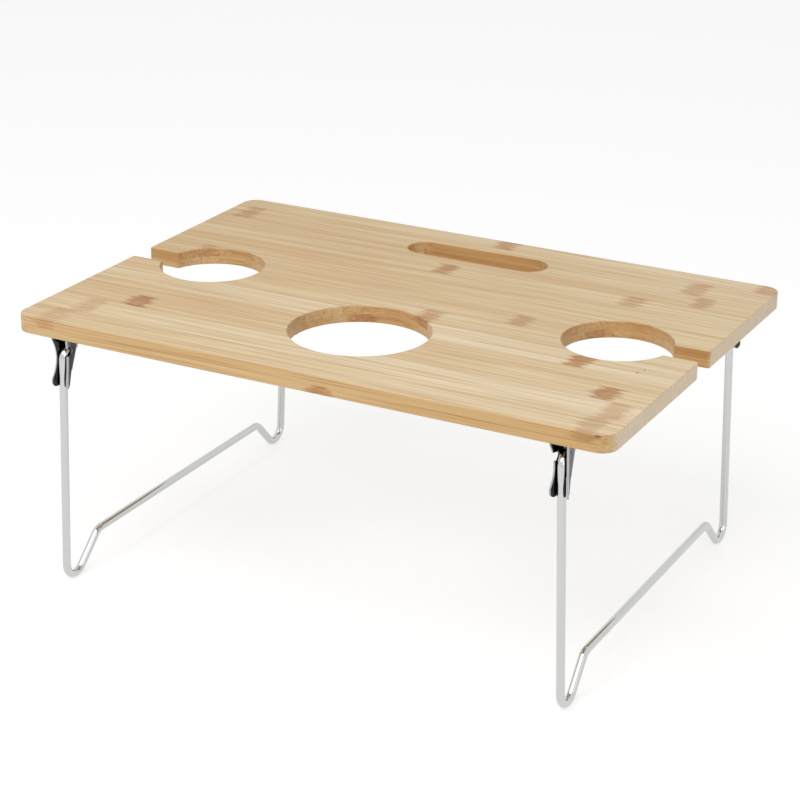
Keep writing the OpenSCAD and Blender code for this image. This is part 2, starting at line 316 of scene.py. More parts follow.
@dataclass(frozen=True)
class LaminatedBamboo:
    """Strips of bamboo in two plies, glued, sanded and lacquered satin.

    The strips give the eye quiet bands of tan along the board, the cut fibre
    bundles a fine streak, and the culm's joints one or two brown scars a strip.
    """

    # Colours of the wood and of what is drawn on it
    pale: str = "#d9c5a3"
    tan: str = "#cdb488"
    amber: str = "#c19f6c"
    streak: str = "#aa7c48"
    glue: str = "#a37f55"
    end_grain: str = "#ddcdb6"
    pit: str = "#4a3826"
    # Colours that the wood is multiplied by
    scar: str = "#c89644"
    sawn_side: str = "#e9d1a8"
    # Painted shade in the walls of the holes
    painted_hole_shade: str = "#efe1cf"
    # What streaks, strips and the place on the board add to the tone. What the place adds is partly
    # the wood's tone and partly painted light: paler towards the front, and towards the right on
    # the top but the left on the front face, as light and sheen fall
    streak_gain: float = 1.7
    streak_shift: float = -0.56
    strip_gain: float = 0.5
    light_and_tone_along: Triple = (0.0, -1.2, -1.1)
    light_and_tone_across: float = 1.1
    # Strips, which widen and narrow a little over a few of them
    strip_mm: float = 20.6
    first_seam_mm: float = 3.0
    sway_strips: float = 3.4
    sway: float = 0.09
    least_place: float = 0.1
    ply_shift: float = 31.45
    glue_line_mm: float = 0.28
    # Fibres, coarser than real ones so that they show, and how far their pattern
    # jumps from strip to strip
    bundle_mm: float = 1.1
    bundle_len_mm: float = 95.0
    bundle_depth: float = 1.05
    streak_mm: float = 3.4
    streak_len_mm: float = 150.0
    jump: float = 57.0
    # Scars, with the cells of their frayed rim and of their figure
    scar_half_mm: float = 9.0
    scar_core: float = 0.4
    scar_relief: float = 0.5
    wander_mm: float = 17.0
    fray_mm: Triple = (16.667, 1.7857, 1.7857)
    figure_mm: Triple = (7.1429, 1.0526, 1.0526)
    hidden_scar: float = 0.7
    hidden_reach: float = 0.17
    # Cut faces, with the cells of the cutter's marks
    rim_mm: float = 12.0
    side_depth: float = 0.75
    end_depth: float = 0.6
    end_sharpness: float = 14.0
    ribs_mm: Triple = (1.1111, 1.1111, 16.667)
    # Surface
    roughness: float = 0.46
    smear: float = 0.16
    relief_mm: float = 0.03
    # Place along the board and strength of each strip's scars, front strip first
    scars_mm: tuple[tuple[float, float], ...] = (
        (174, 0.5), (177, 0.55), (-138, 1.0), (0, 0.0), (131, 1.0), (24, 0.7), (75, 0.6),
        (-157, 0.5), (0, 0.0), (-6, 0.9), (157, 0.6), (-174, 0.6), (7, 0.8),
    )
    later_scars_mm: tuple[tuple[float, float], ...] = (
        (-168, 0.35), (-160, 0.45), (163, 1.0), (0, 0.0), (0, 0.0), (0, 0.0), (0, 0.0),
        (0, 0.0), (0, 0.0), (120, 0.6), (0, 0.0), (145, 0.6), (184, 0.7),
    )
    blemishes: tuple[Blemish, ...] = (
        Blemish((182.0, -133.8, 171.0), (2.9, 2.0, 1.0)),
        Blemish((166.2, -41.4, 171.9), (0.7, 2.2, 0.8)),
        Blemish((168.4, -36.4, 171.9), (0.6, 1.4, 0.8)),
    )

    def material(self, low: Vector, high: Vector) -> Material:
        """Builds the finish for a board that fills this box.

        Args:
            low: Lowest corner of the board.
            high: Highest corner of the board.

        Returns:
            The material.
        """
        material, tree = blank_material("laminated_bamboo")
        coords = add(tree, "TexCoord").node.outputs["Object"]
        facing = coords.node.outputs["Normal"]
        along, across, up = add(tree, "SeparateXYZ", {0: coords}).node.outputs
        upper = add(tree, "Math", {0: up, 1: (low.z + high.z) / 2}, operation="GREATER_THAN")
        point = ShadedPoint(tree, coords, facing, along, across, upper)
        strip, into_strip = self.strips(point, low.y)
        chance = add(tree, "TexWhiteNoise", {"W": strip}, noise_dimensions="1D")
        chances = add(tree, "SeparateColor", {0: chance.node.outputs["Color"]}).node.outputs

        streaks = self.fibres(point, chances[0], self.streak_len_mm, self.streak_mm)
        streaks = add(
            tree, "TexNoise", {"Vector": streaks, "Scale": 1.0, "Detail": 3.0, "Roughness": 0.62}
        )
        bundles = self.fibres(point, chances[1], self.bundle_len_mm, self.bundle_mm)
        bundles = add(tree, "TexVoronoi", {"Vector": bundles, "Scale": 1.0, "Randomness": 1.0})
        bundles = add(
            tree, "MapRange",
            {"Value": bundles, "From Min": 0.12, "From Max": 0.55, "To Min": 1.0, "To Max": 0.0},
            interpolation_type="SMOOTHSTEP",
        )
        deep = add(tree, "Math", {0: bundles, 1: streaks}, operation="MULTIPLY")
        deep = add(
            tree, "Math", {0: deep, 1: self.bundle_depth}, operation="MULTIPLY", use_clamp=True
        )
        scar = self.scar_mask(point, strip, chances[2])

        colour = self.wood(point, chances[0], streaks)
        layers = [
            Layer(deep, self.streak),
            Layer(scar, self.scar, Blend.DEEPEN),
            Layer(self.glue_lines(tree, into_strip), self.glue),
            *self.cut_faces(point, high),
            *(Layer(self.pit_mask(point, blemish), self.pit) for blemish in self.blemishes),
        ]
        for layer in layers:
            colour = add(
                tree, "Mix", {0: layer.strength, MIX_A: colour, MIX_B: linear(layer.colour)},
                data_type="RGBA", blend_type=layer.blend.value,
            )

        rough = add(
            tree, "Math", {0: streaks, 1: self.smear, 2: self.roughness - self.smear / 2},
            operation="MULTIPLY_ADD",
        )
        height = add(
            tree, "Math", {0: scar, 1: self.scar_relief, 2: bundles}, operation="MULTIPLY_ADD"
        )
        bump = add(
            tree, "Bump", {"Height": height, "Distance": self.relief_mm * MM, "Strength": 0.55}
        )
        shader = add(
            tree, "BsdfPrincipled",
            {"Base Color": colour, "Roughness": rough, "Normal": bump, "IOR": 1.5,
             "Coat Weight": 0.12, "Coat Roughness": 0.3},
        )
        add(tree, "OutputMaterial", {"Surface": shader})
        return material

    def strips(self, point: ShadedPoint, front: float) -> tuple[Any, Any]:
        """Counts the strips across the board, staggered between the plies.

        Args:
            point: The point that is shaded.
            front: Place of the board's front edge.

        Returns:
            The strip's number, different in each ply, and the place inside the
            strip from nought to one.
        """
        tree = point.tree
        width = self.strip_mm * MM
        wave = 2 * math.pi / (self.sway_strips * width)
        sway = add(tree, "Math", {0: point.across, 1: wave}, operation="MULTIPLY")
        sway = add(tree, "Math", {0: sway}, operation="SINE")
        place = add(
            tree, "Math", {0: point.across, 1: -front - self.first_seam_mm * MM}, operation="ADD"
        )
        place = add(tree, "Math", {0: place, 1: width}, operation="DIVIDE")
        place = add(tree, "Math", {0: sway, 1: self.sway, 2: place}, operation="MULTIPLY_ADD")
        place = add(tree, "Math", {0: place, 1: self.least_place}, operation="MAXIMUM")
        shift = add(
            tree, "Math", {0: point.upper, 1: -self.ply_shift, 2: self.ply_shift},
            operation="MULTIPLY_ADD",
        )
        place = add(tree, "Math", {0: place, 1: shift}, operation="ADD")
        number = add(tree, "Math", {0: place}, operation="FLOOR")
        inside = add(tree, "Math", {0: place}, operation="FRACT")
        return number, inside

    def fibres(self, point: ShadedPoint, chance: Any, length_mm: float, width_mm: float) -> Any:
        """Stretches space along the strips, so that a cell becomes a fibre.

        Args:
            point: The point that is shaded.
            chance: A number that differs from strip to strip.
            length_mm: Length of a fibre.
            width_mm: Thickness of a fibre.

        Returns:
            The stretched coordinates.
        """
        tree = point.tree
        stretched = point.cells((length_mm, width_mm, width_mm))
        shift = add(tree, "Math", {0: chance, 1: self.jump}, operation="MULTIPLY")
        shift = add(tree, "CombineXYZ", {0: shift, 1: shift})
        return add(tree, "VectorMath", {0: stretched, 1: shift}, operation="ADD")

    def wood(self, point: ShadedPoint, chance: Any, streaks: Any) -> Any:
        """Colours the strips, each with a tone that is streaked along it and changes over the board
        partly as painted light.

        Args:
            point: The point that is shaded.
            chance: A number that differs from strip to strip.
            streaks: Noise that is drawn out along the strips.

        Returns:
            The colour.
        """
        tree = point.tree
        tone = add(
            tree, "Math", {0: streaks, 1: self.streak_gain, 2: self.streak_shift},
            operation="MULTIPLY_ADD",
        )
        # Partly painted light: the tone changes with place across and along the board, and with the
        # way a face points, as light and sheen fall on it
        tone = add(
            tree, "Math", {0: point.across, 1: self.light_and_tone_across, 2: tone}, operation="MULTIPLY_ADD"
        )
        light_and_tone_slope = add(
            tree, "VectorMath", {0: point.facing, 1: self.light_and_tone_along}, operation="DOT_PRODUCT"
        )
        tone = add(tree, "Math", {0: point.along, 1: light_and_tone_slope, 2: tone}, operation="MULTIPLY_ADD")
        tone = add(
            tree, "Math", {0: chance, 1: self.strip_gain, 2: tone},
            operation="MULTIPLY_ADD", use_clamp=True,
        )
        colour = add(tree, "ValToRGB", {0: tone})
        tones = {0.0: linear(self.pale), 0.52: linear(self.tan), 1.0: linear(self.amber)}
        set_stops(colour.node.color_ramp, tones)
        return colour

    def scar_mask(self, point: ShadedPoint, strip: Any, chance: Any) -> Any:
        """Brown scars where the culm had its joints.

        Args:
            point: The point that is shaded.
            strip: The strip's number.
            chance: A number that differs from strip to strip.

        Returns:
            Strength of the scar, from nought to one.
        """
        tree = point.tree
        count = len(self.scars_mm)
        # Places up to this far from the middle fit into the ramp's nought to one
        reach = 0.5
        lookup = add(tree, "Math", {0: strip, 1: 0.5}, operation="ADD")
        lookup = add(tree, "Math", {0: lookup, 1: count}, operation="DIVIDE")
        wander = self.wander_mm * MM
        wobble = point.cells(self.fray_mm)
        wobble = add(tree, "TexNoise", {"Vector": wobble, "Scale": 1.0, "Detail": 2.0})
        wobble = add(tree, "Math", {0: wobble, 1: wander, 2: point.along}, operation="MULTIPLY_ADD")
        wobble = add(tree, "Math", {0: wobble, 1: -wander / 2}, operation="ADD")
        hidden = add(
            tree, "Math", {0: chance, 1: 2 * self.hidden_reach, 2: -self.hidden_reach},
            operation="MULTIPLY_ADD",
        )
        bands = []
        for places in (self.scars_mm, self.later_scars_mm):
            table = add(tree, "ValToRGB", {0: lookup})
            stops = {
                number / count: ((place * MM + reach) / (2 * reach), strength, 0.0, 1.0)
                for number, (place, strength) in enumerate(places)
            }
            set_stops(table.node.color_ramp, stops, "CONSTANT")
            found = add(tree, "SeparateColor", {0: table}).node.outputs
            centre = add(
                tree, "Math", {0: found[0], 1: 2 * reach, 2: -reach}, operation="MULTIPLY_ADD"
            )
            centre = add(tree, "Mix", {0: point.upper, 2: hidden, 3: centre})
            strength = add(tree, "Mix", {0: point.upper, 2: self.hidden_scar, 3: found[1]})
            away = add(tree, "Math", {0: wobble, 1: centre}, operation="SUBTRACT")
            away = add(tree, "Math", {0: away}, operation="ABSOLUTE")
            band = add(
                tree, "MapRange",
                {"Value": away, "From Min": self.scar_core * self.scar_half_mm * MM,
                 "From Max": self.scar_half_mm * MM, "To Min": 1.0, "To Max": 0.0},
                interpolation_type="SMOOTHSTEP",
            )
            bands.append(add(tree, "Math", {0: band, 1: strength}, operation="MULTIPLY"))
        scar = add(tree, "Math", {0: bands[0], 1: bands[1]}, operation="MAXIMUM")
        figure = point.cells(self.figure_mm)
        figure = add(
            tree, "TexNoise", {"Vector": figure, "Scale": 1.0, "Detail": 3.0, "Roughness": 0.7}
        )
        figure = add(
            tree, "MapRange",
            {"Value": figure, "From Min": 0.32, "From Max": 0.54, "To Min": 0.45, "To Max": 1.0},
        )
        return add(tree, "Math", {0: scar, 1: figure}, operation="MULTIPLY")

    def glue_lines(self, tree: NodeTree, into_strip: Any) -> Any:
        """Thin dark lines between strips.

        Args:
            tree: The material's tree.
            into_strip: Place inside the strip, from nought to one.

        Returns:
            Strength of the line, from nought to one.
        """
        width = self.strip_mm * MM
        core = 0.1 * MM
        near = add(tree, "Math", {0: into_strip, 1: 0.5}, operation="SUBTRACT")
        near = add(tree, "Math", {0: near}, operation="ABSOLUTE")
        near = add(tree, "Math", {0: near, 1: -width, 2: width / 2}, operation="MULTIPLY_ADD")
        return add(
            tree, "MapRange",
            {"Value": near, "From Min": core, "From Max": core + self.glue_line_mm * MM,
             "To Min": 0.5, "To Max": 0.0},
            interpolation_type="SMOOTHSTEP",
        )

    def cut_faces(self, point: ShadedPoint, high: Vector) -> list[Layer]:
        """Deepens the sawn sides and draws the cutter's marks on end grain.

        The board's two ends get end grain. The walls of its holes are drawn as
        sawn sides, and a little deeper as painted shade.

        Args:
            point: The point that is shaded.
            high: Highest corner of the board.

        Returns:
            Layers for the sawn sides, the painted shade in the holes' walls, the end grain and its
            marks.
        """
        tree = point.tree
        turned = add(tree, "SeparateXYZ", {0: point.facing}).node.outputs
        faces = []
        inner = []
        for axis, place in enumerate((point.along, point.across)):
            face = add(tree, "Math", {0: turned[axis]}, operation="ABSOLUTE")
            within = add(tree, "Math", {0: place}, operation="ABSOLUTE")
            within = add(
                tree, "Math", {0: within, 1: high[axis] - self.rim_mm * MM}, operation="LESS_THAN"
            )
            faces.append(face)
            inner.append(add(tree, "Math", {0: within, 1: face}, operation="MULTIPLY"))
        sides = add(tree, "Math", {0: faces[1], 1: inner[0]}, operation="MAXIMUM")
        sides = add(tree, "Math", {0: sides, 1: self.side_depth}, operation="MULTIPLY")
        # Painted shade: the holes' walls are deepened once more, where shade falls in them
        walls = add(tree, "Math", {0: inner[0], 1: inner[1]}, operation="MAXIMUM")
        walls = add(tree, "Math", {0: walls, 1: self.side_depth}, operation="MULTIPLY")
        ends = add(tree, "Math", {0: faces[0], 1: inner[0]}, operation="SUBTRACT")
        ends = add(
            tree, "Math", {0: ends, 1: self.end_sharpness}, operation="POWER", use_clamp=True
        )
        ribs = point.cells(self.ribs_mm)
        ribs = add(tree, "TexNoise", {"Vector": ribs, "Scale": 1.0, "Detail": 1.0})
        ribs = add(
            tree, "MapRange",
            {"Value": ribs, "From Min": 0.35, "From Max": 0.65, "To Min": 0.0, "To Max": 0.2},
        )
        ribs = add(tree, "Math", {0: ribs, 1: ends}, operation="MULTIPLY")
        ends = add(tree, "Math", {0: ends, 1: self.end_depth}, operation="MULTIPLY")
        return [
            Layer(sides, self.sawn_side, Blend.DEEPEN),
            Layer(walls, self.painted_hole_shade, Blend.DEEPEN),
            Layer(ends, self.end_grain),
            Layer(ribs, self.streak),
        ]

    def pit_mask(self, point: ShadedPoint, blemish: Blemish) -> Any:
        """A small dark pit in the wood.

        Args:
            point: The point that is shaded.
            blemish: Where the pit is and how large.

        Returns:
            Strength of the pit, from nought to one.
        """
        tree = point.tree
        centre = [-value * MM for value in blemish.centre_mm]
        away = add(tree, "VectorMath", {0: point.coords, 1: centre}, operation="ADD")
        widths = [1 / (value * MM) for value in blemish.reach_mm]
        away = add(tree, "VectorMath", {0: away, 1: widths}, operation="MULTIPLY")
        away = add(tree, "VectorMath", {0: away}, operation="LENGTH")
        return add(
            tree, "MapRange",
            {"Value": away, "From Min": 0.4, "From Max": 1.0, "To Min": 0.8, "To Max": 0.0},
        )


@dataclass(frozen=True)
class BrightMetal:
    """A plated or polished steel surface.

    Attributes:
        name: The material's name.
        colour: Colour of its reflection.
        roughness: How much it blurs what it mirrors.
        smear: How much the roughness changes over the surface.
        smear_mm: Size of a smear.
        grain_mm: Size of the fine unevenness.
        relief_mm: Height of the fine unevenness.
    """

    name: str
    colour: str
    roughness: float
    smear: float
    smear_mm: float
    grain_mm: float
    relief_mm: float

    def material(self) -> Material:
        """Builds the finish.

        Returns:
            The material.
        """
        material, tree = blank_material(self.name)
        coords = add(tree, "TexCoord").node.outputs["Object"]
        smear = add(
            tree, "TexNoise", {"Vector": coords, "Scale": 1 / (self.smear_mm * MM), "Detail": 3.0}
        )
        rough = add(
            tree, "Math",
            {0: smear, 1: self.smear, 2: self.roughness - self.smear / 2},
            operation="MULTIPLY_ADD", use_clamp=True,
        )
        grain = add(
            tree, "TexNoise", {"Vector": coords, "Scale": 1 / (self.grain_mm * MM), "Detail": 2.0}
        )
        bump = add(
            tree, "Bump", {"Height": grain, "Distance": self.relief_mm * MM, "Strength": 0.5}
        )
        shader = add(
            tree, "BsdfPrincipled",
            {"Base Color": linear(self.colour), "Metallic": 1.0, "Roughness": rough,
             "Normal": bump},
        )
        add(tree, "OutputMaterial", {"Surface": shader})
        return material


# Bright chrome on drawn wire: a mirror with a faint pull along it
CHROME = BrightMetal("chrome_plate", "#c9cac9", 0.07, 0.05, 14.0, 1.5, 0.002)
# Polished spring steel whose dark colour is a painted reflection of dark surroundings: black flats
# with a bright glint
SPRING_PAINTED_REFLECTION = BrightMetal("hardened_spring_steel", "#3b3c3d", 0.11, 0.08, 6.0, 0.8, 0.004)
# The same steel, painted bright along its cut edges and its bends as a painted highlight
SPRING_PAINTED_HIGHLIGHT = BrightMetal("rubbed_spring_steel", "#b2b3b3", 0.2, 0.1, 3.0, 0.6, 0.003)
# Zinc plate on the small screws: soft grey
ZINC = BrightMetal("zinc_plate", "#b7b9ba", 0.34, 0.12, 2.0, 0.4, 0.006)


@dataclass
class Board:
    """The laminated board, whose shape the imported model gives."""

    finish: LaminatedBamboo = LaminatedBamboo()
    node: str = "board"

    def make(self) -> None:
        """Gives the board its finish."""
        dress(frame["nodes"][self.node], self.finish.material(*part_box(self.node)))
        LOG.info("%s dressed", self.node)


class WireBender:
    """Draws a round wire as a bending machine does, by feeding and bending."""

    def __init__(self, bm: BMesh, radius: float, start: Vector, sides: int) -> None:
        """Starts a wire that runs along +Y in the Y-Z plane, with a capped end.

        Args:
            bm: The mesh that gets the wire.
            radius: Radius of the capped end.
            start: Centre of the end.
            sides: Facets round the wire.
        """
        self.bm = bm
        self.place = start.copy()
        self.heading = Vector((0, 1, 0))
        turn = Matrix.Rotation(math.radians(-90), 4, "X")
        ring = bmesh.ops.create_circle(
            bm, cap_ends=True, segments=sides, radius=radius,
            matrix=Matrix.Translation(start) @ turn,
        )
        self.tip = list(dict.fromkeys(edge for vert in ring["verts"] for edge in vert.link_edges))

    def feed(self, length: float, scale: float = 1.0) -> None:
        """Feeds straight wire.

        Args:
            length: How much is fed.
            scale: How much thicker the wire is at the new tip.
        """
        grown = bmesh.ops.extrude_edge_only(self.bm, edges=self.tip)["geom"]
        verts = [part for part in grown if isinstance(part, BMVert)]
        fresh = set(verts)
        self.tip = [
            part for part in grown
            if isinstance(part, BMEdge) and fresh.issuperset(part.verts)
        ]
        self.place += self.heading * length
        bmesh.ops.translate(self.bm, verts=verts, vec=self.heading * length)
        if scale != 1.0:
            bmesh.ops.scale(
                self.bm, verts=verts, vec=(scale,) * 3, space=Matrix.Translation(-self.place)
            )

    def bend(self, radius: float, angle_deg: float, step_deg: float = 7.5) -> None:
        """Bends the wire about the X axis.

        Args:
            radius: Radius of the wire's centre line.
            angle_deg: Angle of the bend, positive from +Y to +Z.
            step_deg: Angle between two rings.
        """
        axis = Vector((1, 0, 0))
        side = math.copysign(radius, angle_deg)
        centre = self.place + axis.cross(self.heading) * side
        angle = math.radians(angle_deg)
        swept = bmesh.ops.spin(
            self.bm, geom=self.tip, cent=centre, axis=axis, angle=angle,
            steps=round(abs(angle_deg) / step_deg), use_merge=False, use_duplicate=False,
        )["geom_last"]
        self.tip = [part for part in swept if isinstance(part, BMEdge)]
        turn = Matrix.Rotation(angle, 3, axis)
        self.place = centre + turn @ (self.place - centre)
        self.heading = turn @ self.heading

    def cap(self) -> None:
        """Closes the wire's tip."""
        bmesh.ops.edgeloop_fill(self.bm, edges=self.tip)


@dataclass
class WireLeg:
    """A leg bent from one chromed wire: two pivots, two feet, a raised bar."""

    side: Side
    splay_deg: float = SPLAY_DEG
    pivot_bend_r: float = 6.0 * MM
    foot_bend_r: float = 9.0 * MM
    rise: float = 20.0 * MM
    rise_deg: float = 45.0
    end_chamfer: float = 0.6 * MM
    sides: int = 40

    def make(self, finish: Material) -> None:
        """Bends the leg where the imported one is.

        Args:
            finish: The wire's plate.
        """
        name = self.side.name.lower()
        node = f"leg_{name}"
        body = f"{name}_leg"
        pivot = hinge_point(body)
        low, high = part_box(node)
        stub_start, wire_r = self.stub(node, pivot, high)
        lean = math.radians(self.splay_deg)
        reach = high.y - wire_r
        length = (pivot.z - low.z - wire_r) / math.cos(lean)
        bm = bmesh.new()
        self.bend_wire(bm, wire_r, stub_start, reach, length)
        lean_turn = Matrix.Rotation(-self.side.value * lean, 4, "Y")
        bmesh.ops.transform(bm, matrix=Matrix.Translation(pivot) @ lean_turn, verts=bm.verts)
        bmesh.ops.recalc_face_normals(bm, faces=bm.faces)
        for face in bm.faces:
            face.smooth = len(face.verts) == 4
        leg = finished_piece(f"bent_wire_{name}", bm)
        dress(leg, finish)
        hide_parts(node)
        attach(leg, body)
        LOG.info("%s bent over %s", leg.name, node)

    def stub(self, node: str, pivot: Vector, high: Vector) -> tuple[float, float]:
        """Reads the pivot's inner end and the wire's radius from the node.

        Args:
            node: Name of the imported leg.
            pivot: A point of the pivot axis.
            high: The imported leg's highest corner.

        Returns:
            Distance of the end from the middle and the wire's radius.
        """
        near_pivot = [
            vert.co.y for vert in frame["nodes"][node].data.vertices
            if vert.co.z > pivot.z and vert.co.y > 0
        ]
        return min(near_pivot), high.z - pivot.z

    def bend_wire(
        self, bm: BMesh, wire_r: float, stub_start: float, reach: float, length: float
    ) -> None:
        """Bends the wire in its own plane, with the pivot axis at the origin.

        Args:
            bm: The mesh that gets the wire.
            wire_r: Radius of the wire.
            stub_start: Distance of the pivot's inner end from the middle.
            reach: Distance of the upright from the middle.
            length: Distance from the pivot axis to the foot's centre line.
        """
        slope = math.radians(self.rise_deg)
        drop = self.foot_bend_r * (1 - math.cos(slope))
        slope_len = (self.rise - 2 * drop) / math.sin(slope)
        inward = self.foot_bend_r * (1 + 2 * math.sin(slope)) + slope_len * math.cos(slope)
        crossbar = 2 * (reach - inward)
        stub_len = reach - self.pivot_bend_r - stub_start - self.end_chamfer
        upright = length - self.pivot_bend_r - self.foot_bend_r
        foot_deg = 90 + self.rise_deg
        thin = wire_r - self.end_chamfer
        wire = WireBender(bm, thin, Vector((0, stub_start, 0)), self.sides)
        wire.feed(self.end_chamfer, wire_r / thin)
        wire.feed(stub_len)
        wire.bend(self.pivot_bend_r, -90)
        wire.feed(upright)
        wire.bend(self.foot_bend_r, -foot_deg)
        wire.feed(slope_len)
        wire.bend(self.foot_bend_r, self.rise_deg)
        wire.feed(crossbar)
        wire.bend(self.foot_bend_r, self.rise_deg)
        wire.feed(slope_len)
        wire.bend(self.foot_bend_r, -foot_deg)
        wire.feed(upright)
        wire.bend(self.pivot_bend_r, -90)
        wire.feed(stub_len)
        wire.feed(self.end_chamfer, thin / wire_r)
        wire.cap()


def break_edges(bm: BMesh, radius: float, sharp_deg: float = 35.0) -> None:
    """Rounds the sharp edges of a mesh a little, with the second material.

    Args:
        bm: The mesh, whose faces get smooth shading.
        radius: Width of the rounding.
        sharp_deg: The least angle between two faces whose edge is rounded.
    """
    for face in bm.faces:
        face.smooth = True
    sharp = [
        edge for edge in bm.edges
        if edge.is_manifold and edge.calc_face_angle(0.0) > math.radians(sharp_deg)
    ]
    bmesh.ops.bevel(
        bm, geom=sharp, offset=radius, offset_type="OFFSET", affect="EDGES",
        segments=2, profile=0.5, material=1, clamp_overlap=True, loop_slide=True,
    )


def thickened(bm: BMesh, thickness: float) -> BMesh:
    """Gives a bent sheet its gauge, half to each side.

    Args:
        bm: The sheet's middle surface, which is freed.
        thickness: Thickness of the sheet.

    Returns:
        The solid sheet, with its cut edges in the second material.
    """
    sheet = finished_piece("sheet", bm)
    sheet.data.materials.append(None)
    sheet.data.materials.append(None)
    gauge = sheet.modifiers.new("gauge", "SOLIDIFY")
    gauge.thickness = thickness
    gauge.offset = 0.0
    gauge.use_even_offset = True
    gauge.material_offset_rim = 1
    solid = bmesh.new()
    evaluated = sheet.evaluated_get(bpy.context.evaluated_depsgraph_get())
    solid.from_mesh(evaluated.to_mesh())
    evaluated.to_mesh_clear()
    mesh = sheet.data
    bpy.data.objects.remove(sheet)
    bpy.data.meshes.remove(mesh)
    return solid


@dataclass
class PressedClip:
    """A leg clip, pressed from spring steel: flange, slanted web, two lobed walls.

    Places are worked out as for the back right corner, in a frame whose origin
    is where the wire's centre line meets the pivot axis, with X and Y outwards.
    Lengths are millimetres.
    """

    corner: Corner
    thickness: float = 1.2
    groove_half: float = 2.8
    splay_deg: float = SPLAY_DEG
    web_set: float = 7.8
    web_slant_deg: float = 20.0
    web_end: float = -12.5
    bend_r: float = 1.2
    hole_r: float = 2.58
    hole_row: float = 1.5
    hole_step_deg: float = 22.5
    lobe_low: float = -20.2
    lobe_reach: float = 4.0
    lobe_r: float = 2.6
    flare_deg: float = 25.0
    waist_reach: float = 1.2
    waist_z: float = -5.25
    waist_r: float = 29.97
    slot_half: float = 2.65
    slot_back: float = -3.7
    slot_round: float = 2.2
    slot_rim: float = 0.1
    flange_under: float = 7.8
    flange_w: float = 19.0
    flange_depth: float = 14.0
    flange_r: float = 4.0
    screw_pitch: float = 10.5
    screw_set: float = 7.0
    screw_hole_r: float = 1.5
    edge_r: float = 0.14
    # Heights of rows of points above the slot, below it and on the lobes, and
    # the angle of the last rows on a lobe's round end
    rows_above: tuple[float, ...] = (8.4, 7.0, 5.6, 4.2)
    rows_below: tuple[float, ...] = (-4.4, -6.3, -8.3, -10.4)
    rows_lobe: tuple[float, ...] = (-14.2, -16.0, -18.0)
    rows_end_deg: tuple[float, ...] = (15.0, 30.0, 45.0, 60.0, 74.0, 86.0)

    def make(self, face: Material, edge: Material) -> None:
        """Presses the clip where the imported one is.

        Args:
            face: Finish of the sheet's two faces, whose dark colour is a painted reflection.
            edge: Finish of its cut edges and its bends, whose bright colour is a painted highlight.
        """
        node = f"clip_{self.corner.value}"
        bm = thickened(self.walls_and_web(), self.thickness)
        # The slot's own edges lie in the dark
        for patch in bm.faces:
            centre = patch.calc_center_median()
            if centre.x < 0 and abs(centre.z) < self.slot_half + self.slot_rim:
                patch.material_index = 0
        lean = Matrix.Rotation(-math.radians(self.splay_deg), 4, "Y")
        bmesh.ops.transform(bm, matrix=lean, verts=bm.verts)
        self.add_flange(bm)
        break_edges(bm, self.edge_r)
        bmesh.ops.transform(bm, matrix=self.placement(), verts=bm.verts)
        bmesh.ops.recalc_face_normals(bm, faces=bm.faces)
        clip = finished_piece(f"pressed_{node}", bm)
        dress(clip, face, edge)
        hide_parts(node)
        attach(clip, "tabletop")
        LOG.info("%s pressed over %s", clip.name, node)

    @property
    def slope(self) -> float:
        """How far forward the web comes for each millimetre down."""
        return math.tan(math.radians(self.web_slant_deg))

    def placement(self) -> Matrix:
        """Places the clip at its corner, mirrored as the corner needs.

        Returns:
            The matrix from the clip's own frame to the scene.
        """
        back_or_front, right_or_left = self.corner.value.split("_")
        x_side = 1 if right_or_left == "right" else -1
        y_side = 1 if back_or_front == "back" else -1
        pivot = hinge_point(f"{right_or_left}_leg")
        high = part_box(f"leg_{right_or_left}")[1]
        wire_y = high.y - (high.z - pivot.z)
        mirror = Matrix.Diagonal((x_side * MM, y_side * MM, MM, 1.0))
        return Matrix.Translation((pivot.x, y_side * wire_y, pivot.z)) @ mirror

    def walls_and_web(self) -> BMesh:
        """Forms the middle surface of the walls and the web from one flat sheet.

        Its two bends get the second material, whose bright colour is a painted highlight.

        Returns:
            The middle surface, which has no thickness yet.
        """
        heights = [
            *self.rows_above, self.slot_half, self.hole_row, 0.0, -self.hole_row,
            -self.slot_half, *self.rows_below, self.web_end, *self.rows_lobe, self.lobe_low,
        ]
        for angle in self.rows_end_deg:
            heights.append(self.lobe_low - self.lobe_r * math.sin(math.radians(angle)))
        last = len(heights) - 1
        bm = bmesh.new()
        bmesh.ops.create_grid(bm, x_segments=2 * Column.FRONT, y_segments=last, size=1.0)
        spots = {}
        for vert in bm.verts:
            column = round(vert.co.x * Column.FRONT)
            row = round((1 - vert.co.y) / 2 * last)
            spots[vert] = (column, heights[row])
            vert.co = self.spot(column, heights[row])
        for face in bm.faces:
            across = [abs(spots[vert][0]) for vert in face.verts]
            in_bend = min(across) >= Column.WEB_EDGE and max(across) <= Column.BEND_END
            face.material_index = int(in_bend)
        waste = [part for part in bm.faces if self.is_cut([spots[vert] for vert in part.verts])]
        bmesh.ops.delete(bm, geom=waste, context="FACES")
        bmesh.ops.remove_doubles(bm, verts=bm.verts, dist=0.02)
        bmesh.ops.recalc_face_normals(bm, faces=bm.faces)
        return bm

    def is_cut(self, corners: list[tuple[int, float]]) -> bool:
        """Tells if a patch of the flat sheet is punched out.

        Args:
            corners: Column and height of each of its corners.

        Returns:
            True in the pivot hole, in the slot that the leg swings through and
            below the web.
        """
        columns = [column for column, _ in corners]
        heights = [height for _, height in corners]
        in_slot_rows = max(heights) <= self.slot_half and min(heights) >= -self.slot_half
        reach = max(abs(column) for column in columns)
        hole = in_slot_rows and reach <= Column.WEB_EDGE
        slot = in_slot_rows and max(columns) <= -Column.SLOT
        below = max(heights) <= self.web_end and reach <= Column.BACK
        return hole or slot or below

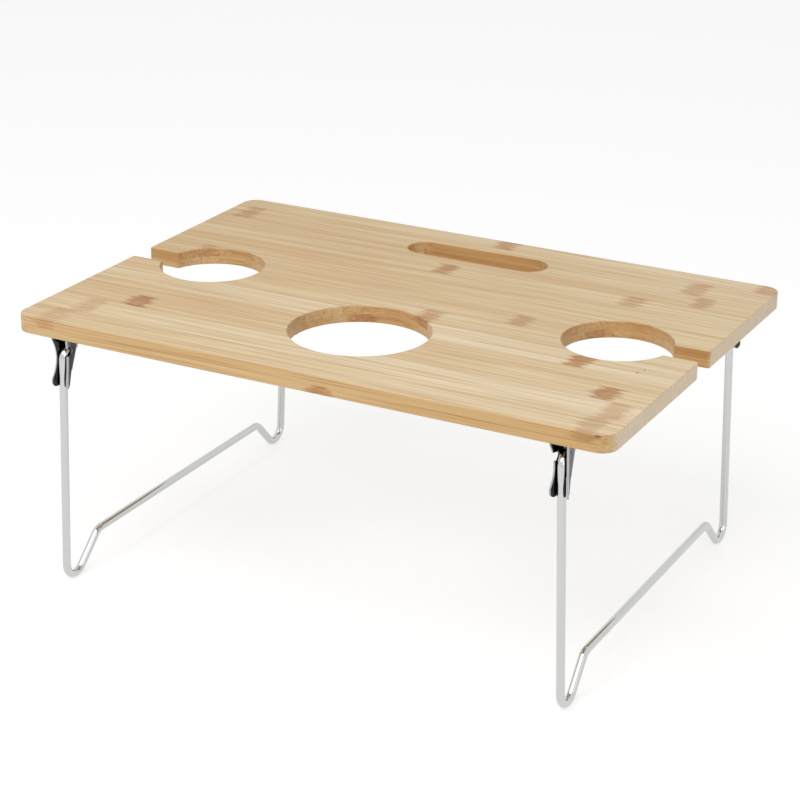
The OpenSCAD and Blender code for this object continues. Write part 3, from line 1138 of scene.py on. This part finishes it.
    def spot(self, column: int, height: float) -> Vector:
        """Finds where a point of the flat sheet lies on the bent clip.

        Args:
            column: Column of the point, nought at the middle of the web.
            height: Its height above the pivot axis.

        Returns:
            The place of the point.
        """
        side = math.copysign(1.0, column)
        across = abs(column)
        web_y = -self.web_set - 0.5 * self.thickness / math.cos(math.radians(self.web_slant_deg))
        wall_x = self.groove_half + self.thickness / 2
        if across <= Column.WEB_EDGE:
            x, z = self.web_spot(across, height, wall_x - self.bend_r)
            return Vector((side * x, web_y - self.slope * z, z))
        web_y -= self.slope * height
        if across <= Column.BEND_END:
            share = (across - Column.WEB_EDGE) / (Column.BACK - Column.WEB_EDGE)
            turn = math.radians(90 * share)
            x = wall_x - self.bend_r * (1 - math.sin(turn))
            return Vector((side * x, web_y + self.bend_r * (1 - math.cos(turn)), height))
        y = self.wall_y(across, height, web_y + self.bend_r)
        flare = math.tan(math.radians(self.flare_deg)) * max(y, 0.0)
        return Vector((side * (wall_x + flare), y, height))

    def web_spot(self, across: int, height: float, flat_half: float) -> tuple[float, float]:
        """Shifts the web's points so that the pivot hole comes out round.

        Args:
            across: Column, from the web's middle to its edge.
            height: Height above the pivot axis.
            flat_half: Half the width of the web's flat part.

        Returns:
            X and height of the point.
        """
        share = across / Column.WEB_EDGE
        if abs(height) > self.slot_half:
            return share * flat_half, height
        if abs(height) == self.slot_half:
            turn = math.radians(90 - self.hole_step_deg * across)
            rise = self.hole_r * math.sin(turn)
            return self.hole_r * math.cos(turn), math.copysign(rise, height)
        turn = math.radians(self.hole_step_deg * height / self.hole_row)
        return self.hole_r * math.cos(turn) * share, self.hole_r * math.sin(turn)

    def wall_y(self, across: int, height: float, root: float) -> float:
        """Finds how far forward a point of a wall or lobe lies.

        Args:
            across: Column, from the wall's back to its front.
            height: Height above the pivot axis.
            root: Where the wall begins at this height, behind the web's bend.

        Returns:
            Y of the point.
        """
        lobe_y = self.lobe_reach - self.lobe_r
        if height < self.lobe_low:
            half = math.sqrt(max(self.lobe_r ** 2 - (self.lobe_low - height) ** 2, 0.0))
            back, front = lobe_y - half, lobe_y + half
        else:
            arch = math.sqrt(self.waist_r ** 2 - (height - self.waist_z) ** 2)
            front = min(self.lobe_reach, self.waist_reach + self.waist_r - arch)
            back = root
        if self.lobe_low <= height < self.web_end:
            down = (self.web_end - height) / (self.web_end - self.lobe_low)
            high_back = root - self.slope * (self.web_end - height)
            back = high_back + down * (lobe_y - self.lobe_r - high_back)
        crease = min(max(back, 0.0), front)
        slot = (back + crease) / 2
        if abs(height) <= self.slot_half:
            slot = self.slot_back + self.slot_round * (height / self.slot_half) ** 2
        return (back, slot, crease, (crease + front) / 2, front)[across - Column.BACK]

    def add_flange(self, bm: BMesh) -> None:
        """Adds the mounting flange, with two round corners and two screw holes.

        Args:
            bm: The mesh that gets it.
        """
        plate = bmesh.new()
        near = -self.web_set - self.slope * self.flange_under
        middle = near - self.flange_depth / 2
        shape = Matrix.Translation((0, middle, self.flange_under)) @ Matrix.Diagonal(
            (self.flange_w, self.flange_depth, 1.0, 1.0)
        )
        bmesh.ops.create_grid(plate, x_segments=1, y_segments=1, size=0.5, matrix=shape)
        far = [vert for vert in plate.verts if vert.co.y < middle]
        bmesh.ops.bevel(
            plate, geom=far, offset=self.flange_r, offset_type="OFFSET", affect="VERTICES",
            segments=8, profile=0.5, material=-1, clamp_overlap=True,
        )
        bmesh.ops.delete(plate, geom=list(plate.faces), context="FACES_ONLY")
        for place in (-0.5, 0.5):
            centre = (place * self.screw_pitch, near - self.screw_set, self.flange_under)
            bmesh.ops.create_circle(
                plate, segments=24, radius=self.screw_hole_r, matrix=Matrix.Translation(centre)
            )
        bmesh.ops.triangle_fill(plate, use_beauty=True, use_dissolve=False, edges=plate.edges)
        grown = bmesh.ops.extrude_face_region(plate, geom=list(plate.faces))["geom"]
        verts = [part for part in grown if isinstance(part, BMVert)]
        bmesh.ops.translate(plate, verts=verts, vec=(0, 0, self.thickness))
        bmesh.ops.recalc_face_normals(plate, faces=plate.faces)
        mesh = bpy.data.meshes.new("flange")
        plate.to_mesh(mesh)
        plate.free()
        bm.from_mesh(mesh)
        bpy.data.meshes.remove(mesh)


@dataclass
class ClipScrew:
    """A screw that holds a clip to the board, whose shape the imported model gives."""

    corner: Corner
    hole: ScrewHole

    def make(self, finish: Material) -> None:
        """Gives the screw its finish.

        Args:
            finish: The screw's plate.
        """
        node = f"screw_{self.corner.value}_{self.hole.value}"
        dress(frame["nodes"][node], finish)
        LOG.info("%s dressed", node)


@dataclass(frozen=True)
class Softbox:
    """A square area lamp.

    Attributes:
        place: Where it stands.
        watts: Its power.
    """

    place: Triple
    watts: float


@dataclass
class Studio:
    """Pale floor, two soft lamps and a pale backdrop."""

    floor_half: float = 6.0
    floor_colour: str = "#f7f7f6"
    floor_glow: float = 1.14
    floor_veil: float = 0.62
    ambient: float = 0.54
    lamp_size: float = 1.2
    lamp_aim: Triple = (0.0, 0.0, 0.15)
    lamps: tuple[Softbox, ...] = (
        Softbox((-0.05, -0.9, 1.35), 15.5),
        Softbox((1.9, -1.0, 0.9), 5.5),
    )

    def make(self) -> None:
        """Builds floor, lamps and backdrop."""
        self.floor()
        for number, lamp in enumerate(self.lamps):
            self.lamp(f"softbox_{number}", lamp)
        self.backdrop()
        LOG.info("studio set")

    def floor(self) -> None:
        """A wide pale floor that looks white and keeps a faint soft shadow."""
        bm = bmesh.new()
        bmesh.ops.create_grid(bm, x_segments=1, y_segments=1, size=self.floor_half)
        floor = finished_piece("floor", bm)
        material, tree = blank_material("pale_floor")
        matt = add(
            tree, "BsdfPrincipled", {"Base Color": linear(self.floor_colour), "Roughness": 0.9}
        )
        glow = add(tree, "Emission", {"Color": linear(WHITE), "Strength": self.floor_glow})
        veil = add(tree, "Math", {0: self.seen(tree), 1: self.floor_veil}, operation="MULTIPLY")
        shader = add(tree, "MixShader", {0: veil, 1: matt, 2: glow})
        add(tree, "OutputMaterial", {"Surface": shader})
        dress(floor, material)

    def seen(self, tree: NodeTree) -> NodeSocket:
        """Finds out if a ray comes from the eye, straight or by way of a mirror.

        Args:
            tree: The tree that gets the nodes.

        Returns:
            One for such a ray and nought for any other.
        """
        rays = add(tree, "LightPath").node.outputs
        seen = add(
            tree, "Math", {0: rays["Is Camera Ray"], 1: rays["Is Glossy Ray"]}, operation="MAXIMUM"
        )
        return add(tree, "Math", {0: seen, 1: rays["Is Transmission Ray"]}, operation="MAXIMUM")

    def lamp(self, name: str, lamp: Softbox) -> None:
        """Hangs one lamp.

        Args:
            name: The lamp's name.
            lamp: Where it is and how strong.
        """
        data = bpy.data.lights.new(name, "AREA")
        data.shape = "SQUARE"
        data.size = self.lamp_size
        data.energy = lamp.watts
        light = bpy.data.objects.new(name, data)
        light.location = lamp.place
        towards = Vector(self.lamp_aim) - Vector(lamp.place)
        light.rotation_euler = towards.to_track_quat("-Z", "Y").to_euler()
        bpy.context.scene.collection.objects.link(light)

    def backdrop(self) -> None:
        """A world that is white to the eye and to mirrors, and dimmer as light."""
        world = bpy.data.worlds.new("studio")
        world.use_nodes = True
        tree = world.node_tree
        tree.nodes.clear()
        strength = add(tree, "Mix", {0: self.seen(tree), 2: self.ambient, 3: 1.0})
        glow = add(tree, "Background", {"Color": linear(WHITE), "Strength": strength})
        add(tree, "OutputWorld", {"Surface": glow})
        bpy.context.scene.world = world


@dataclass
class Viewpoint:
    """The camera, at the photograph's viewing angle."""

    place: Triple = (0.5856, -1.1269, 0.6230)
    yaw_deg: float = 27.594
    pitch_deg: float = 22.084
    roll_deg: float = 0.678
    focal_px: float = 2244.5
    frame_px: float = 800.0

    def make(self) -> None:
        """Sets up the camera."""
        data = bpy.data.cameras.new("camera")
        data.sensor_width = 36.0
        data.lens = self.focal_px / self.frame_px * data.sensor_width
        data.clip_start = 0.05
        data.clip_end = 50.0
        camera = bpy.data.objects.new("camera", data)
        turn = (
            Matrix.Rotation(math.radians(self.yaw_deg), 4, "Z")
            @ Matrix.Rotation(math.radians(90 - self.pitch_deg), 4, "X")
            @ Matrix.Rotation(math.radians(self.roll_deg), 4, "Z")
        )
        camera.matrix_world = Matrix.Translation(self.place) @ turn
        bpy.context.scene.collection.objects.link(camera)
        bpy.context.scene.camera = camera


def main() -> None:
    """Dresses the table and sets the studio."""
    logging.basicConfig(level=logging.INFO)
    bpy.context.scene.view_settings.view_transform = "Standard"
    Viewpoint().make()
    Board().make()
    chrome = CHROME.material()
    for side in Side:
        WireLeg(side).make(chrome)
    # Steel whose dark colour is a painted reflection, for the clips' faces
    spring = SPRING_PAINTED_REFLECTION.material()
    # Bright steel that is a painted highlight, for the clips' cut edges and bends
    painted_highlight_steel = SPRING_PAINTED_HIGHLIGHT.material()
    zinc = ZINC.material()
    for corner in Corner:
        PressedClip(corner).make(spring, painted_highlight_steel)
        for hole in ScrewHole:
            ClipScrew(corner, hole).make(zinc)
    Studio().make()


if __name__ == "__main__":
    main()
